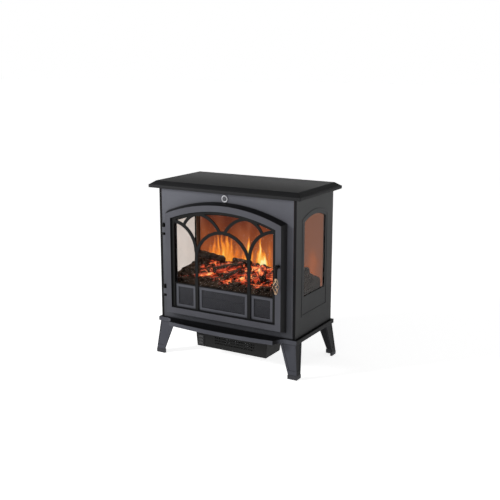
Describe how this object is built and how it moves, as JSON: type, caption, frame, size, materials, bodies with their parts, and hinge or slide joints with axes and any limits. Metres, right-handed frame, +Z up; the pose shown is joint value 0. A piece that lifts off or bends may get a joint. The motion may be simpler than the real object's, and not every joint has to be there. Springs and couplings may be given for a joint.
{
  "type": "electric fireplace",
  "caption": "Stove-style electric fireplace on splayed legs, with an arched swinging door, side windows, a log and ember bed and a fan heater under the hearth plate.",
  "frame": {"origin": "on the floor, in the middle of the footprint", "axes": "+X to the viewer's right facing the door, +Y towards the back, +Z up"},
  "size_m": [0.598, 0.351, 0.632],
  "materials": {
    "body_paint": "satin charcoal stove paint",
    "housing_paint": "matte black paint",
    "black_iron": "matte black paint",
    "foot_plastic": "matte charcoal",
    "black_plastic": "matte",
    "switch_plastic": "gloss",
    "amber_glass": "tinted",
    "door_glass": "clear",
    "flame_screen": "translucent screen",
    "ember_resin": "glowing embers",
    "log_resin": "charred bark",
    "grip_brass": "polished wire",
    "badge_metal": "satin",
    "steel": "plain",
    "circuit_board": "board with parts"
  },
  "bodies": {
    "cabinet": {"top_plate": "body_paint", "hearth_plate": "body_paint", "front_panel": "body_paint", "back_panel": "body_paint", "right_side_panel": "body_paint", "left_side_panel": "body_paint", "front_right_leg": "body_paint", "back_right_leg": "body_paint", "front_left_leg": "body_paint", "back_left_leg": "body_paint", "front_right_foot": "foot_plastic", "back_right_foot": "foot_plastic", "front_left_foot": "foot_plastic", "back_left_foot": "foot_plastic", "right_side_glass": "amber_glass", "left_side_glass": "amber_glass", "right_glass_retainer": "black_iron", "left_glass_retainer": "black_iron", "upper_hinge_bracket": "black_iron", "lower_hinge_bracket": "black_iron", "upper_hinge_pin": "steel", "lower_hinge_pin": "steel", "magnet_catch": "black_plastic", "round_badge": "badge_metal", "firebox_floor": "black_iron", "flame_screen": "flame_screen", "ember_bed": "ember_resin", "log_1": "log_resin", "log_2": "log_resin", "log_3": "log_resin", "log_4": "log_resin", "log_5": "log_resin", "log_6": "log_resin", "flame_motor": "steel", "rotor_bearing": "black_plastic", "flame_light_board": "circuit_board", "ember_light_board": "circuit_board", "heater_housing": "housing_paint", "control_bezel": "black_plastic", "heating_element": "steel", "blower_motor": "steel", "thermal_cut_out": "grip_brass", "control_board": "circuit_board", "cord_gland": "black_plastic"},
    "door": {"door_frame": "body_paint", "door_lattice": "black_iron", "door_glass": "door_glass", "door_glass_retainer": "black_iron", "door_lower_panel": "body_paint", "grille_sheet": "black_iron", "upper_door_knuckle": "body_paint", "lower_door_knuckle": "body_paint"},
    "handle": {"handle_spindle": "black_iron", "handle_arm": "black_iron", "coil_grip": "grip_brass"},
    "rotor": {"flame_rotor": "steel"},
    "fan": {"blower_wheel": "steel"},
    "power_rocker": {"power_switch": "switch_plastic"},
    "heat_rocker": {"heat_switch": "switch_plastic"},
    "flame_rocker": {"flame_switch": "switch_plastic"}
  },
  "joints": [
    {"name": "door_swing", "type": "hinge", "parent": "cabinet", "child": "door", "pos_m": [-0.246, -0.13152, 0.35], "axis": [0, 0, -1], "range_deg": [0, 115]},
    {"name": "handle_turn", "type": "hinge", "parent": "door", "child": "handle", "pos_m": [0.222, -0.1485, 0.387], "axis": [0, 1, 0], "range_deg": [0, 90]},
    {"name": "flame_rotor_spin", "type": "hinge", "parent": "cabinet", "child": "rotor", "pos_m": [0, 0.14073, 0.305], "axis": [1, 0, 0], "continuous": true},
    {"name": "fan_spin", "type": "hinge", "parent": "cabinet", "child": "fan", "pos_m": [0, -0.02152, 0.084], "axis": [1, 0, 0], "continuous": true},
    {"name": "power_rock", "type": "hinge", "parent": "cabinet", "child": "power_rocker", "pos_m": [-0.125, -0.08052, 0.0725], "axis": [0, 0, 1], "range_deg": [-7, 7]},
    {"name": "heat_rock", "type": "hinge", "parent": "cabinet", "child": "heat_rocker", "pos_m": [-0.125, -0.08052, 0.0605], "axis": [0, 0, 1], "range_deg": [-7, 7]},
    {"name": "flame_rock", "type": "hinge", "parent": "cabinet", "child": "flame_rocker", "pos_m": [-0.125, -0.08052, 0.0485], "axis": [0, 0, 1], "range_deg": [-7, 7]}
  ]
}
